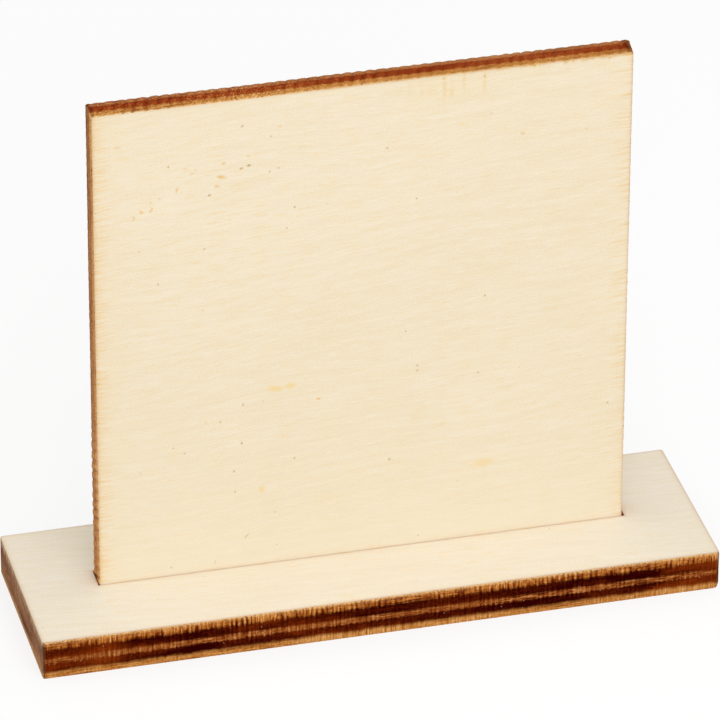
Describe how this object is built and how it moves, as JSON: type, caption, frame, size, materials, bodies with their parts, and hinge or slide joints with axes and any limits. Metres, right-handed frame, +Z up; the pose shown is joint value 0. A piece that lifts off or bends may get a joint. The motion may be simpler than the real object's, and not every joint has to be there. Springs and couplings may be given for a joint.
{
  "type": "place card holder",
  "caption": "Small wooden table sign: a plain upright plywood panel stands in a slot cut right through a flat oblong plywood base, and lifts straight out.",
  "frame": {"origin": "on the table, at the middle of the base's underside", "axes": "+X along the base and the panel's width, +Y from the front to the back, +Z up"},
  "size_m": [0.085, 0.0252, 0.0701],
  "materials": {
    "face_veneer": "matte",
    "core_veneer": "matte",
    "crossband": "matte"
  },
  "bodies": {
    "base": {"base_bottom_veneer": "face_veneer", "base_lower_crossband": "crossband", "base_core_veneer": "core_veneer", "base_upper_crossband": "crossband", "base_top_veneer": "face_veneer"},
    "panel": {"panel_front_veneer": "face_veneer", "panel_crossband": "crossband", "panel_back_veneer": "face_veneer"}
  },
  "joints": [
    {"name": "panel_lift", "type": "slide", "parent": "base", "child": "panel", "axis": [0, 0, 1], "range_m": [0, 0.015]}
  ]
}
